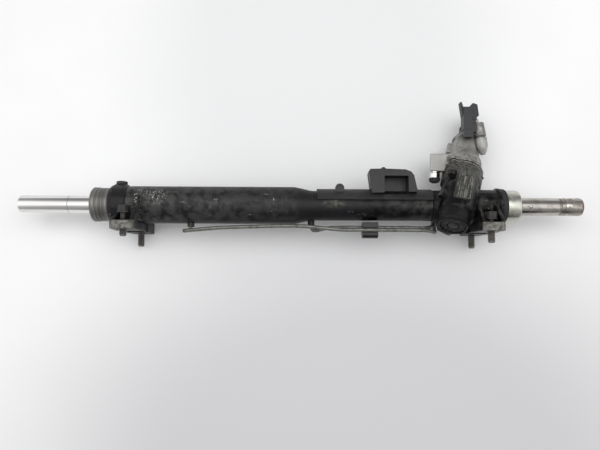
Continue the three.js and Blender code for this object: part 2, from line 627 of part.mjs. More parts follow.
const torsionBar = toSolid(turned([
  [0, 25], [3.6, 25], [3.6, 44], [2.9, 48], [2.9, 140], [4, 144], [4, INPUT.top - 1], [0, INPUT.top - 1],
], 16)).subtract(toSolid(rod(1.6, -12, 12, 10), PIN_FRAME));
addPart(tower, "torsion_bar", torsionBar, MATERIALS.steel);
addPart(tower, "torsion_bar_pin", rod(1.3, -7.4, 7.4, 10).applyMatrix4(PIN_FRAME), MATERIALS.steel);

addPart(tower, "input_needle_bearing", tube(9.4, 14.7, 117, 127), MATERIALS.steel);
addPart(tower, "input_shaft_seal", tube(9.4, 14.7, 127.6, 134), MATERIALS.rubber);
addPart(tower, "input_dust_cap", turned([
  [9.4, 138.4], [13.6, 138.4], [16.4, 134.8], [16.4, 131], [17.6, 131], [17.6, 135.6], [14.4, 139.8],
  [9.4, 139.8],
]), MATERIALS.rubber);

// ---- Flange screws and gasket -------------------------------------------------------------------

function flangeScrew(lug) {
  const seat = PINION_CASE.flange - GAP;
  const shank = toSolid(rod(3, seat - 2, lug.top - 3, 12));
  const washer = toSolid(rod(5.6, seat - 1.5, seat, 16));
  const head = toSolid(slab(hexagon(10), seat - 6.5, seat - 1));
  return toGeometry(joined([shank, washer, head]));
}
LUGS.forEach((lug) => {
  addPart(tower, `flange_screw_${lug.name}`, atLug(flangeScrew(lug), lug), MATERIALS.boltSteel);
});

const GASKET = { from: PINION_CASE.top + GAP, to: FLANGE.bottom - GAP };
const gasketDisc = (radius) => rod(radius, GASKET.from, GASKET.to);
const gasketHole = (radius) => rod(radius, GASKET.from - 1, GASKET.to + 1);
const atLugs = (geometry) => LUGS.map((lug) => toSolid(atLug(geometry, lug)));
const gasket = without(
  joined([toSolid(gasketDisc(FLANGE.radius - 1)), ...atLugs(gasketDisc(LUG.radius))]),
  [toSolid(gasketHole(16.5)), ...atLugs(gasketHole(LUG.hole))],
);
addPart(tower, "flange_gasket", gasket, MATERIALS.rubber);

// ---- Valve housing ------------------------------------------------------------------------------

const SOLENOID_FRAME = pointing(SOLENOID.top, SOLENOID.end.clone().sub(SOLENOID.top));
const PORT_BLOCK = { x: [190.3, 232], y: [53, 79], z: [-20, -5], slant: 4.3 };
const STUB = { x: 198.8, z: -14 };
const REARWARD = pointing(vector(0, 0, 0), vector(0, 1, 0));
const TO_TOWER = TOWER_FRAME.clone().invert();

function valveHousing() {
  const { x, y, z, slant } = PORT_BLOCK;
  const barrel = toSolid(turned([
    [0, FLANGE.bottom], [FLANGE.radius, FLANGE.bottom], [FLANGE.radius, FLANGE.top - 1],
    [FLANGE.radius - 1, FLANGE.top], [24.4, FLANGE.top + 1], [24, 70], [18.5, 82], [18.5, 113], [16.4, 119],
    [16.4, 131], [0, 131],
  ], 20));
  const shoulder = toSolid(turned([
    [0, 60], [17, 66], [17, 109], [13, 117], [0, 117],
  ], 20).translate(-8, 0, 0));
  const lugs = LUGS.map((lug) => toSolid(atLug(rod(LUG.radius, FLANGE.bottom, lug.top, 12), lug)));
  const ear = toSolid(box([-30.5, -10], [-5, 5], [80, 97]));
  const ports = VALVE_PORTS.map((port) =>
    toSolid(rod(6.5, 5, port.face, 16), REARWARD.clone().setPosition(port.x, 0, port.height)));
  const blockPlan = [[x[0], -z[1]], [x[1], -z[1]], [x[1], -z[0]], [x[0] + slant, -z[0]]];
  const portBlock = toSolid(slab(blockPlan, ...y), TO_TOWER.clone().multiply(PLAN_FRAME));
  const bores = toSolid(turned([
    [0, 36], [16.4, 36], [16.4, 43], [VALVE.bore, 45], [VALVE.bore, 116.6], [15, 116.6], [15, 136], [0, 136],
  ], 16));
  const screwHoles = LUGS.map((lug) =>
    toSolid(atLug(rod(LUG.hole, FLANGE.bottom - 1, lug.top - 2, 12), lug)));
  const seat = rod(SOLENOID.radius + GAP, 10, 60, 24);
  const solenoidSeat = toSolid(seat, TO_TOWER.clone().multiply(SOLENOID_FRAME));
  const portHoles = VALVE_PORTS.map((port) =>
    toSolid(rod(2.2, 16, 30, 10), REARWARD.clone().setPosition(port.x, 0, port.height)));
  const caseSpace = [
    toSolid(rod(FLANGE.radius + GAP, 0, FLANGE.bottom, 20)),
    ...atLugs(rod(LUG.radius + GAP, 0, FLANGE.bottom, 12)),
  ];
  const block = without(portBlock, caseSpace);
  return without(joined([barrel, shoulder, ear, ...lugs, ...ports, block]), [
    bores, solenoidSeat, ...screwHoles, ...portHoles,
  ]);
}
addPart(tower, "valve_housing", valveHousing(), MATERIALS.castAluminium);

// The pressure port's fitting under the port block, and its rubber cap.
const stubFrame = pointing(vector(STUB.x, PORT_BLOCK.y[0] - GAP, STUB.z), DOWN);
const portStub = turned([[0, 0], [8.3, 0], [8.3, 1.4], [7.7, 2], [7.7, 9], [3, 9], [3, 14], [0, 14]]);
addPart(steeringGear, "pressure_port_stub", portStub.applyMatrix4(stubFrame), MATERIALS.chrome);
const portCap = turned([
  [3.3, 9.3], [8.3, 9.3], [8.3, 11.6], [7, 14.8], [4, 16.3], [0, 16.3], [0, 14.3], [3.3, 14.3],
]);
addPart(steeringGear, "pressure_port_cap", portCap.applyMatrix4(stubFrame), MATERIALS.rubber);
const portPlugFrame = pointing(vector(203, 68, PORT_BLOCK.z[0] - GAP), vector(0, 0, -1));
const portPlug = toGeometry(toSolid(rod(6.4, 0, 1.6, 20)).add(toSolid(slab(hexagon(9), 1, 5))));
addPart(steeringGear, "return_port_plug", portPlug.applyMatrix4(portPlugFrame), MATERIALS.zinc);

// ---- Solenoid and its connector -----------------------------------------------------------------

const solenoidLength = SOLENOID.top.distanceTo(SOLENOID.end);
const solenoidCan = turned([
  [0, 0], [SOLENOID.can - 1, 0], [SOLENOID.can, 1], [SOLENOID.can + 1.6, 20], [SOLENOID.can + 0.4, 21],
  [SOLENOID.can + 0.4, 22.3], [SOLENOID.radius, 23.3], [SOLENOID.radius, solenoidLength - 12],
  [SOLENOID.radius - 2.6, solenoidLength - 4], [SOLENOID.radius - 5, solenoidLength], [0, solenoidLength],
]);
addPart(steeringGear, "solenoid", solenoidCan.applyMatrix4(SOLENOID_FRAME), MATERIALS.castAluminium);

function connector() {
  const body = box([240.4, 253], [115.5, 149], [-17.5, -3]);
  const socket = box([242.4, 251], [128, 152], [-16, -4.8]);
  const leftProng = slab([[237, 157], [239, 157], [241.8, 148], [241.8, 136], [240, 136]], -17, -6);
  const wing = slab([
    [252.4, 152], [255.4, 155.4], [261.9, 153], [264.4, 133], [255.9, 130], [252.4, 134],
  ], -18, -5);
  const latch = slab([[252.4, 124], [265.9, 125], [266.4, 133], [259.4, 137], [252.4, 134]], -15, -6);
  const foot = box([241.4, 254.8], [103.6, 116], [-12.4, -3.5]);
  const arm = box([252.4, 262], [112, 124], [-16, -6]);
  const seat = turned([
    [0, -10], [SOLENOID.can + GAP, -10], [SOLENOID.can + GAP, 1], [SOLENOID.can + 1.6 + GAP, 20],
    [SOLENOID.can + 1.6 + GAP, 26], [0, 26],
  ]);
  return without(
    joined([body, leftProng, wing, latch, foot, arm].map((shape) => toSolid(shape))),
    [toSolid(socket), toSolid(seat, SOLENOID_FRAME)],
  );
}
addPart(steeringGear, "solenoid_connector", connector(), MATERIALS.plastic);

// ---- Transfer pipes -----------------------------------------------------------------------------

const towerPoint = (x, y, z) => vector(x, y, z).applyMatrix4(TOWER_FRAME);

function unionNut() {
  const nut = toSolid(slab(hexagon(NUT.acrossFlats), 0, NUT.length));
  return toGeometry(nut.subtract(toSolid(rod(NUT.hole, -1, 12))));
}

PIPES.forEach(({ name, x, z, drop, lane, valve, steps, start, bends }) => {
  const below = (distance) => vector(x, -NUT.bottom - distance, z);
  const out = (distance) => towerPoint(valve.x, valve.face + distance, valve.height);
  const path = new THREE.CatmullRomCurve3([
    ...[0.3, 2, 3.8, 5].map(below),
    ...start.map((point) => vector(...point)),
    ...[60, 86, 118].map((along) => vector(along, drop, lane)),
    ...bends.map((point) => vector(...point)),
    towerPoint(valve.x - 5, valve.face + 13.5, valve.height - 2.5),
    ...[11, 7, 3.5, 0.6].map(out),
  ], false, "centripetal");
  addPart(steeringGear, `transfer_pipe_${name}`, swept(path, PIPE_RADIUS, 8, steps), MATERIALS.steel);
  const cylinderNut = unionNut().applyMatrix4(pointing(below(0), DOWN));
  addPart(steeringGear, `union_nut_cylinder_${name}`, cylinderNut, MATERIALS.boltSteel);
  const valveNut = unionNut().applyMatrix4(REARWARD).translate(valve.x, valve.face + GAP, valve.height);
  addPart(tower, `union_nut_valve_${name}`, valveNut, MATERIALS.boltSteel);
});

// ---- Mount bolts --------------------------------------------------------------------------------

function mountBolt() {
  const { shank, length, flange, flangeHeight, acrossFlats, headHeight } = BOLT;
  return toGeometry(joined([
    toSolid(turned([[0, -1], [shank, -1], [shank, length - 2], [shank - 1.2, length], [0, length]], 12)),
    toSolid(turned([[0, -4], [flange - 1, -4], [flange, -1.4], [flange, 0], [0, 0]])),
    toSolid(slab(hexagon(acrossFlats), -flangeHeight - headHeight, -flangeHeight)),
  ]));
}

// The bolts hang loose in the ears, each lifted off its ear by some height.
const EAR_TOP = EAR.seat + EAR.thickness;
for (const [name, mount, side, lift] of [
  ["left_front", LEFT_MOUNT, 1, 10.5], ["left_rear", LEFT_MOUNT, -1, GAP],
  ["right_front", RIGHT_MOUNT, 1, 4], ["right_rear", RIGHT_MOUNT, -1, GAP],
]) {
  const bolt = mountBolt().applyMatrix4(boltFrame(mount, side, EAR_TOP + lift));
  addPart(steeringGear, `mount_bolt_${name}`, bolt, MATERIALS.boltSteel);
}

// ---- Saddle bracket on the slim tube, plug and pipe clip ----------------------------------------

const SADDLE = { left: 24, right: CASE.left - GAP, thickness: 2.6, from: -25, to: 74 };

function saddleBracket() {
  const inner = TUBE.slim + GAP;
  const outer = inner + SADDLE.thickness;
  const arc = [];
  const steps = 10;
  for (let i = 0; i <= steps; i++) {
    const angle = THREE.MathUtils.degToRad(SADDLE.from + ((SADDLE.to - SADDLE.from) * i) / steps);
    arc.push([Math.cos(angle), Math.sin(angle)]);
  }
  const scaled = (radius) => arc.map(([y, z]) => [radius * y, radius * z]);
  const section = [...scaled(outer), ...scaled(inner).reverse()];
  const shell = toSolid(slab(section, SADDLE.left, SADDLE.right), SECTION_FRAME);
  const tabTop = Array.from({ length: 7 }, (_, i) => {
    const angle = (i * Math.PI) / 6;
    return [56.5 + 6.5 * Math.cos(angle), 24 + 6.5 * Math.sin(angle)];
  });
  const tab = slab([[63, 10], ...tabTop, [50, 10]], 12, 15.5);
  const wall = slab([
    [101.5, 16], [97.5, 46], [99, 50], [114, 50.5], [116, 52.5], [119, 52.5], [121, 50.5], [149, 49.5],
    [157, 46.5], [161, 41], [166, 18],
  ], 0, 25);
  const pocket = slab([[119, 15], [119, 40.5], [153, 40.5], [153, 15]], 4, 26);
  const tubeClearance = toSolid(rod(inner, 0, 240, ROUND), RACK_FRAME);
  const solids = [tab, wall].map((shape) => toSolid(shape));
  return joined([shell, ...solids]).subtract(toSolid(pocket)).subtract(tubeClearance);
}
addPart(steeringGear, "saddle_bracket", saddleBracket(), MATERIALS.plastic);

addPart(steeringGear, "top_plug", turned([
  [0, 22.6], [PLUG.radius, 22.6], [PLUG.radius, PLUG.bossTop + GAP], [8, PLUG.bossTop + GAP],
  [8, PLUG.bossTop + 3.4], [7, PLUG.bossTop + 4.4], [0, PLUG.bossTop + 4.4],
], 20).applyMatrix4(PLUG_FRAME), MATERIALS.castBlack);

function pipeClip() {
  const outline = [[-42, -12], [-46.5, -8], [-46.5, 5], [-43, 8.5], [-24, 8.5], [-24, -12]];
  const body = toSolid(slab(outline, 90, 112), SECTION_FRAME);
  const holes = PIPES.map(({ drop, lane }) =>
    toSolid(rod(PIPE_RADIUS + 0.6, 0, 40, 16), pointing(vector(80, drop, lane), ALONG, UP)));
  return without(body, [...holes, toSolid(rod(TUBE.slim + GAP, 0, 240, ROUND), RACK_FRAME)]);
}
addPart(steeringGear, "pipe_clip", pipeClip(), MATERIALS.plastic);

const yokeNut = toSolid(slab(hexagon(33, Math.PI / 6), YOKE_CASE.end + GAP, YOKE_CASE.end + 5))
  .subtract(toSolid(rod(14.4, 40, 60, 28)));
addPart(yokeLine, "yoke_lock_nut", yokeNut, MATERIALS.boltSteel);

// ---- The part, standing on the origin -----------------------------------------------------------

steeringGear.updateMatrixWorld(true);
const bounds = new THREE.Box3().setFromObject(steeringGear, true);
const middle = bounds.getCenter(new THREE.Vector3());
const part = new THREE.Group();
part.add(steeringGear);
steeringGear.position.set(-middle.x, -middle.y, -bounds.min.z);
part.updateMatrixWorld(true);
export default part;
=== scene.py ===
"""Looks of the power-steering rack and pinion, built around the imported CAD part, in metres."""
import json
import math

import bmesh
import bpy
from mathutils import Matrix, Vector, noise


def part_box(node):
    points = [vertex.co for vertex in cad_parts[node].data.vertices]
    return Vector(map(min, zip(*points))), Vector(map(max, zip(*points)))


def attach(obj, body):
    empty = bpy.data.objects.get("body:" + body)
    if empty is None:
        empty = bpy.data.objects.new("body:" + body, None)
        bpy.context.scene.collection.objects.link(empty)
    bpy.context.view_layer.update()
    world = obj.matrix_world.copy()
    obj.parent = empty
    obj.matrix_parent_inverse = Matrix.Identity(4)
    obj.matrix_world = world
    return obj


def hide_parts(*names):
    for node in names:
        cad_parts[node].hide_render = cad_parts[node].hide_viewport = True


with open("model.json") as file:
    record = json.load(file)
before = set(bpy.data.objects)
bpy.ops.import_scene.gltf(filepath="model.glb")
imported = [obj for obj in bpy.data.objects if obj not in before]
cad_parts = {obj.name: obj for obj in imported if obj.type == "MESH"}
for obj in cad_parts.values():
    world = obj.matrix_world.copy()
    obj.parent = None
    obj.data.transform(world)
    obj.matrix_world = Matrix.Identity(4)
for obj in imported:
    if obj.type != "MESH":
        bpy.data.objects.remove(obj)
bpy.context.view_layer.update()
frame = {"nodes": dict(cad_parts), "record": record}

NODES = frame["nodes"]
BEHAVIOUR = frame["record"]["behaviour"]
BODY_OF = {node: body for body, nodes in BEHAVIOUR["bodies"].items() for node in nodes}
JOINTS = {joint["name"]: joint for joint in BEHAVIOUR["joints"]}

# Positions below are measured from the rack bar's axis, 1 mm left of the bar's middle.
bar_low, bar_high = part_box("rack_bar")
ORIGIN = (bar_low + bar_high) / 2 - Vector((0.001, 0, 0))

# The tower's own directions: up along its axis, towards the viewer, and across it.
TOWER = Vector(JOINTS["pinion_spin"]["pos_m"])
TOWER_UP = Vector(JOINTS["pinion_spin"]["axis"]).normalized()
TOWER_FRONT = Vector((1, 0, 0)).cross(TOWER_UP).normalized()
TOWER_SIDE = TOWER_UP.cross(TOWER_FRONT)

# ---- Camera, light and floor ---------------------------------------------------------------------

CAMERA_TILT = math.radians(4.8)  # how far the view leans from straight down, towards the bolts' side
CAMERA_ROLL = math.radians(0.32)
CAMERA_DISTANCE = 0.812
CAMERA_RISE = -0.0281
FOCAL_WIDTHS = 560 / 600  # focal length over the image's width
SENSOR_WIDTH = 36  # in the camera's own millimetres


def add_camera():
    """The camera above the bar's axis, leaning and rolled as the constants say."""
    up = Vector((0, math.cos(CAMERA_TILT), math.sin(CAMERA_TILT)))
    back = Vector((0, -math.sin(CAMERA_TILT), math.cos(CAMERA_TILT)))
    right = up.cross(back)
    place = ORIGIN + up * CAMERA_RISE + back * CAMERA_DISTANCE
    turn = Matrix.Rotation(CAMERA_ROLL, 3, back)
    right, up = turn @ right, turn @ up
    data = bpy.data.cameras.new("camera")
    data.sensor_width = SENSOR_WIDTH
    data.lens = SENSOR_WIDTH * FOCAL_WIDTHS
    data.clip_end = 20
    camera = bpy.data.objects.new("camera", data)
    bpy.context.scene.collection.objects.link(camera)
    camera.matrix_world = Matrix.Translation(place) @ Matrix((right, up, back)).transposed().to_4x4()
    bpy.context.scene.camera = camera


def add_area(name, place, aim, size, power):
    """A white rectangular light at a place, facing the point that it aims at."""
    data = bpy.data.lights.new(name, "AREA")
    data.shape = "RECTANGLE"
    data.size, data.size_y = size
    data.energy = power
    light = bpy.data.objects.new(name, data)
    bpy.context.scene.collection.objects.link(light)
    light.location = place
    light.rotation_euler = (Vector(aim) - Vector(place)).to_track_quat("-Z", "Y").to_euler()


ROOM_STRENGTH = 1.13

# The room's brightness along Y, from 0 on the bolts' side to 1 on the connector's side.
ROOM_STOPS = [
    (0.0, 0.12), (0.02, 0.04), (0.07, 0.04), (0.12, 0.3), (0.22, 0.36), (0.32, 0.6), (0.4, 1.15),
    (0.64, 1.15), (0.74, 0.5), (0.84, 0.22), (0.91, 0.3), (1.0, 0.6),
]


def add_room():
    """A room of grey bands for the polished metal to reflect, brightest overhead."""
    world = bpy.data.worlds.new("room")
    bpy.context.scene.world = world
    world.use_nodes = True
    tree = world.node_tree
    background = tree.nodes["Background"]
    coordinates = tree.nodes.new("ShaderNodeTexCoord")
    split = tree.nodes.new("ShaderNodeSeparateXYZ")
    ramp = tree.nodes.new("ShaderNodeValToRGB")
    tree.links.new(coordinates.outputs["Generated"], split.inputs[0])
    shift = tree.nodes.new("ShaderNodeMapRange")
    shift.inputs["From Min"].default_value = -1
    tree.links.new(split.outputs["Y"], shift.inputs["Value"])
    tree.links.new(shift.outputs["Result"], ramp.inputs[0])
    while len(ramp.color_ramp.elements) < len(ROOM_STOPS):
        ramp.color_ramp.elements.new(0.5)
    for element, (place, value) in zip(ramp.color_ramp.elements, ROOM_STOPS):
        element.position = place
        element.color = (value, value, value, 1)
    tree.links.new(ramp.outputs["Color"], background.inputs["Color"])
    background.inputs["Strength"].default_value = ROOM_STRENGTH


FLOOR_SIZE = 8


def add_floor(material):
    """The bench top at height 0, which isn't part of the object."""
    bpy.ops.mesh.primitive_grid_add(
        x_subdivisions=8, y_subdivisions=8, size=FLOOR_SIZE, location=(0, 0, 0),
    )
    floor = bpy.context.active_object
    floor.name = "floor"
    floor.data.materials.append(material)


# ---- Materials -----------------------------------------------------------------------------------

# Places of the mix node's colour sockets, which share their names with its other sockets.
MIX_COLOUR_A, MIX_COLOUR_B, MIX_COLOUR_RESULT = 6, 7, 2

WANDER = 0.0025  # how far the random grid of the specks is shifted about


class Surface:
    """A procedural material that starts plain and takes layers, each seen where its mask is white."""

    def __init__(self, name, colour, roughness, metallic=0.0):
        self.material = bpy.data.materials.new(name)
        self.material.use_nodes = True
        self.tree = self.material.node_tree
        self.shader = self.tree.nodes["Principled BSDF"]
        self.place = self.add("ShaderNodeTexCoord").outputs["Object"]
        self.values = {"Base Color": (*colour, 1), "Roughness": roughness, "Metallic": metallic}
        self.normal = None

    def add(self, kind, **inputs):
        """A new node, its inputs given by name with _ for each space."""
        made = self.tree.nodes.new(kind)
        for name, value in inputs.items():
            self.put(made.inputs[name.replace("_", " ")], value)
        return made

    def put(self, socket, value):
        """Links another node's output to the socket, or sets a plain value."""
        if isinstance(value, bpy.types.NodeSocket):
            self.tree.links.new(value, socket)
        else:
            socket.default_value = value

    def noise(self, scale, low, high, detail=4.0, stretch=(1, 1, 1), place=None):
        """White where the noise is above high, fading to black at low."""
        mapping = self.add("ShaderNodeMapping", Vector=place or self.place, Scale=stretch)
        cloud = self.add(
            "ShaderNodeTexNoise", Vector=mapping.outputs[0], Scale=scale, Detail=detail, Roughness=0.55,
        )
        return self.ranged(cloud.outputs["Fac"], low, high)

    def specks(self, scale, size, share):
        """White in small irregular specks, in a share of the cells of a random grid."""
        wander = self.add("ShaderNodeTexNoise", Vector=self.place, Scale=scale * 1.5, Detail=4.0)
        shift = self.vector("MULTIPLY", wander.outputs["Color"], (WANDER, WANDER, WANDER))
        moved = self.vector("ADD", self.place, shift)
        cells = self.add("ShaderNodeTexVoronoi", Vector=moved, Scale=scale)
        chosen = self.add("ShaderNodeSeparateColor", Color=cells.outputs["Color"]).outputs["Red"]
        inside = self.ranged(cells.outputs["Distance"], size, size * 0.6)
        return self.both(inside, self.math("LESS_THAN", chosen, share))

    def ranged(self, value, low, high):
        """0 up to low, 1 from high on, and smooth between. It falls instead when high is below low."""
        made = self.add("ShaderNodeMapRange", Value=value)
        made.interpolation_type = "SMOOTHSTEP"
        made.inputs["From Min"].default_value = low
        made.inputs["From Max"].default_value = high
        return made.outputs["Result"]

    def math(self, kind, a, b):
        """One operation on two values or sockets."""
        made = self.tree.nodes.new("ShaderNodeMath")
        made.operation = kind
        self.put(made.inputs[0], a)
        self.put(made.inputs[1], b)
        return made.outputs[0]

    def both(self, *masks):
        """White where all the masks are white."""
        product = masks[0]
        for mask in masks[1:]:
            product = self.math("MULTIPLY", product, mask)
        return product

    def coordinate(self, axis):
        """The place along X, Y or Z."""
        return self.add("ShaderNodeSeparateXYZ", Vector=self.place).outputs[axis]

    def between(self, value, low, high, soft):
        """White from low to high, with soft ends."""
        return self.both(
            self.ranged(value, low - soft, low + soft), self.ranged(value, high + soft, high - soft)
        )

    def band(self, axis, low, high, soft=0.002):
        """White between two places on an axis, given from the rack bar's axis."""
        start = ORIGIN["XYZ".index(axis)]
        return self.between(self.coordinate(axis), start + low, start + high, soft)

    def vector(self, operation, a, b=None):
        """One vector operation, which gives a number for a length or a dot product."""
        made = self.tree.nodes.new("ShaderNodeVectorMath")
        made.operation = operation
        self.put(made.inputs[0], a)
        if b is not None:
            self.put(made.inputs[1], b)
        return made.outputs["Value" if operation in ("LENGTH", "DOT_PRODUCT") else "Vector"]

    def tower_place(self):
        """The place in the tower's frame: across it, towards the viewer, and up along its axis."""
        offset = self.vector("SUBTRACT", self.place, TOWER)
        made = self.tree.nodes.new("ShaderNodeCombineXYZ")
        for socket, direction in zip(made.inputs, (TOWER_SIDE, TOWER_FRONT, TOWER_UP)):
            self.put(socket, self.vector("DOT_PRODUCT", offset, direction))
        return made.outputs[0]

    def tower_height(self, low, high, soft=0.001):
        """White between two heights along the tower's axis."""
        height = self.add("ShaderNodeSeparateXYZ", Vector=self.tower_place()).outputs["Z"]
        return self.between(height, low, high, soft)

    def tower_patch(self, across, along, soft=0.0015):
        """White on the tower's near side, between two places across it and two along it."""
        place = self.add("ShaderNodeSeparateXYZ", Vector=self.tower_place())
        near = self.ranged(place.outputs["Y"], 0.012, 0.016)
        return self.both(
            self.between(place.outputs["X"], *across, soft),
            self.between(place.outputs["Z"], *along, soft), near,
        )

    def near_tower(self, radius):
        """White within a radius of the tower's axis."""
        across = self.vector("MULTIPLY", self.tower_place(), (1, 1, 0))
        return self.ranged(self.vector("LENGTH", across), radius + 0.002, radius)

    def spot(self, place, radius, squash=(1, 1, 1)):
        """White inside a soft ball round a place, given from the rack bar's axis."""
        offset = self.vector("SUBTRACT", self.place, ORIGIN + Vector(place))
        distance = self.vector("LENGTH", self.vector("MULTIPLY", offset, squash))
        return self.ranged(distance, radius, radius * 0.4)

    def edges(self, low=0.52, high=0.6):
        """White on convex edges, or on concave ones when high is below low."""
        return self.ranged(self.add("ShaderNodeNewGeometry").outputs["Pointiness"], low, high)

    def layer(self, mask, colour=None, roughness=None, metallic=None, strength=1.0):
        """Lays the given values over those so far, where the mask is white."""
        factor = mask if strength == 1.0 else self.math("MULTIPLY", mask, strength)
        if colour is not None:
            mix = self.tree.nodes.new("ShaderNodeMix")
            mix.data_type = "RGBA"
            self.put(mix.inputs["Factor"], factor)
            self.put(mix.inputs[MIX_COLOUR_A], self.values["Base Color"])
            self.put(mix.inputs[MIX_COLOUR_B], (*colour, 1))
            self.values["Base Color"] = mix.outputs[MIX_COLOUR_RESULT]
        for name, value in (("Roughness", roughness), ("Metallic", metallic)):
            if value is not None:
                mix = self.tree.nodes.new("ShaderNodeMix")
                self.put(mix.inputs["Factor"], factor)
                self.put(mix.inputs["A"], self.values[name])
                self.put(mix.inputs["B"], value)
                self.values[name] = mix.outputs["Result"]

    def bump(self, height, depth, strength):
        """Adds relief, up to a depth, on top of the relief so far."""
        made = self.add("ShaderNodeBump", Height=height, Distance=depth, Strength=strength)
        if self.normal is not None:
            self.put(made.inputs["Normal"], self.normal)
        self.normal = made.outputs["Normal"]

    def done(self, **constants):
        """The finished material, with any other shader inputs given by name."""
        for name, value in self.values.items():
            self.put(self.shader.inputs[name], value)
        for name, value in constants.items():
            self.shader.inputs[name.replace("_", " ")].default_value = value
        if self.normal is not None:
            self.put(self.shader.inputs["Normal"], self.normal)
        return self.material


PAINT = (0.0045, 0.0046, 0.0053)
PALE_METAL = (0.3, 0.29, 0.26)
FLANGE_JOINT = 0.0535  # where the valve housing's flange meets the gear housing, up the tower

# Small nicks in the tube's paint: place, radius, and how narrow each is along X, Y and Z.
NICKS = [
    ((-0.037, 0.006, 0.026), 0.009, (6, 1, 0.4)),
    ((-0.163, 0.0, 0.027), 0.008, (1.2, 3, 0.4)),
    ((-0.118, 0.004, 0.027), 0.007, (1.5, 2.5, 0.4)),
    ((-0.05, 0.013, 0.024), 0.016, (1, 14, 0.4)),
    ((0.028, 0.009, 0.022), 0.014, (1, 8, 0.4)),
]


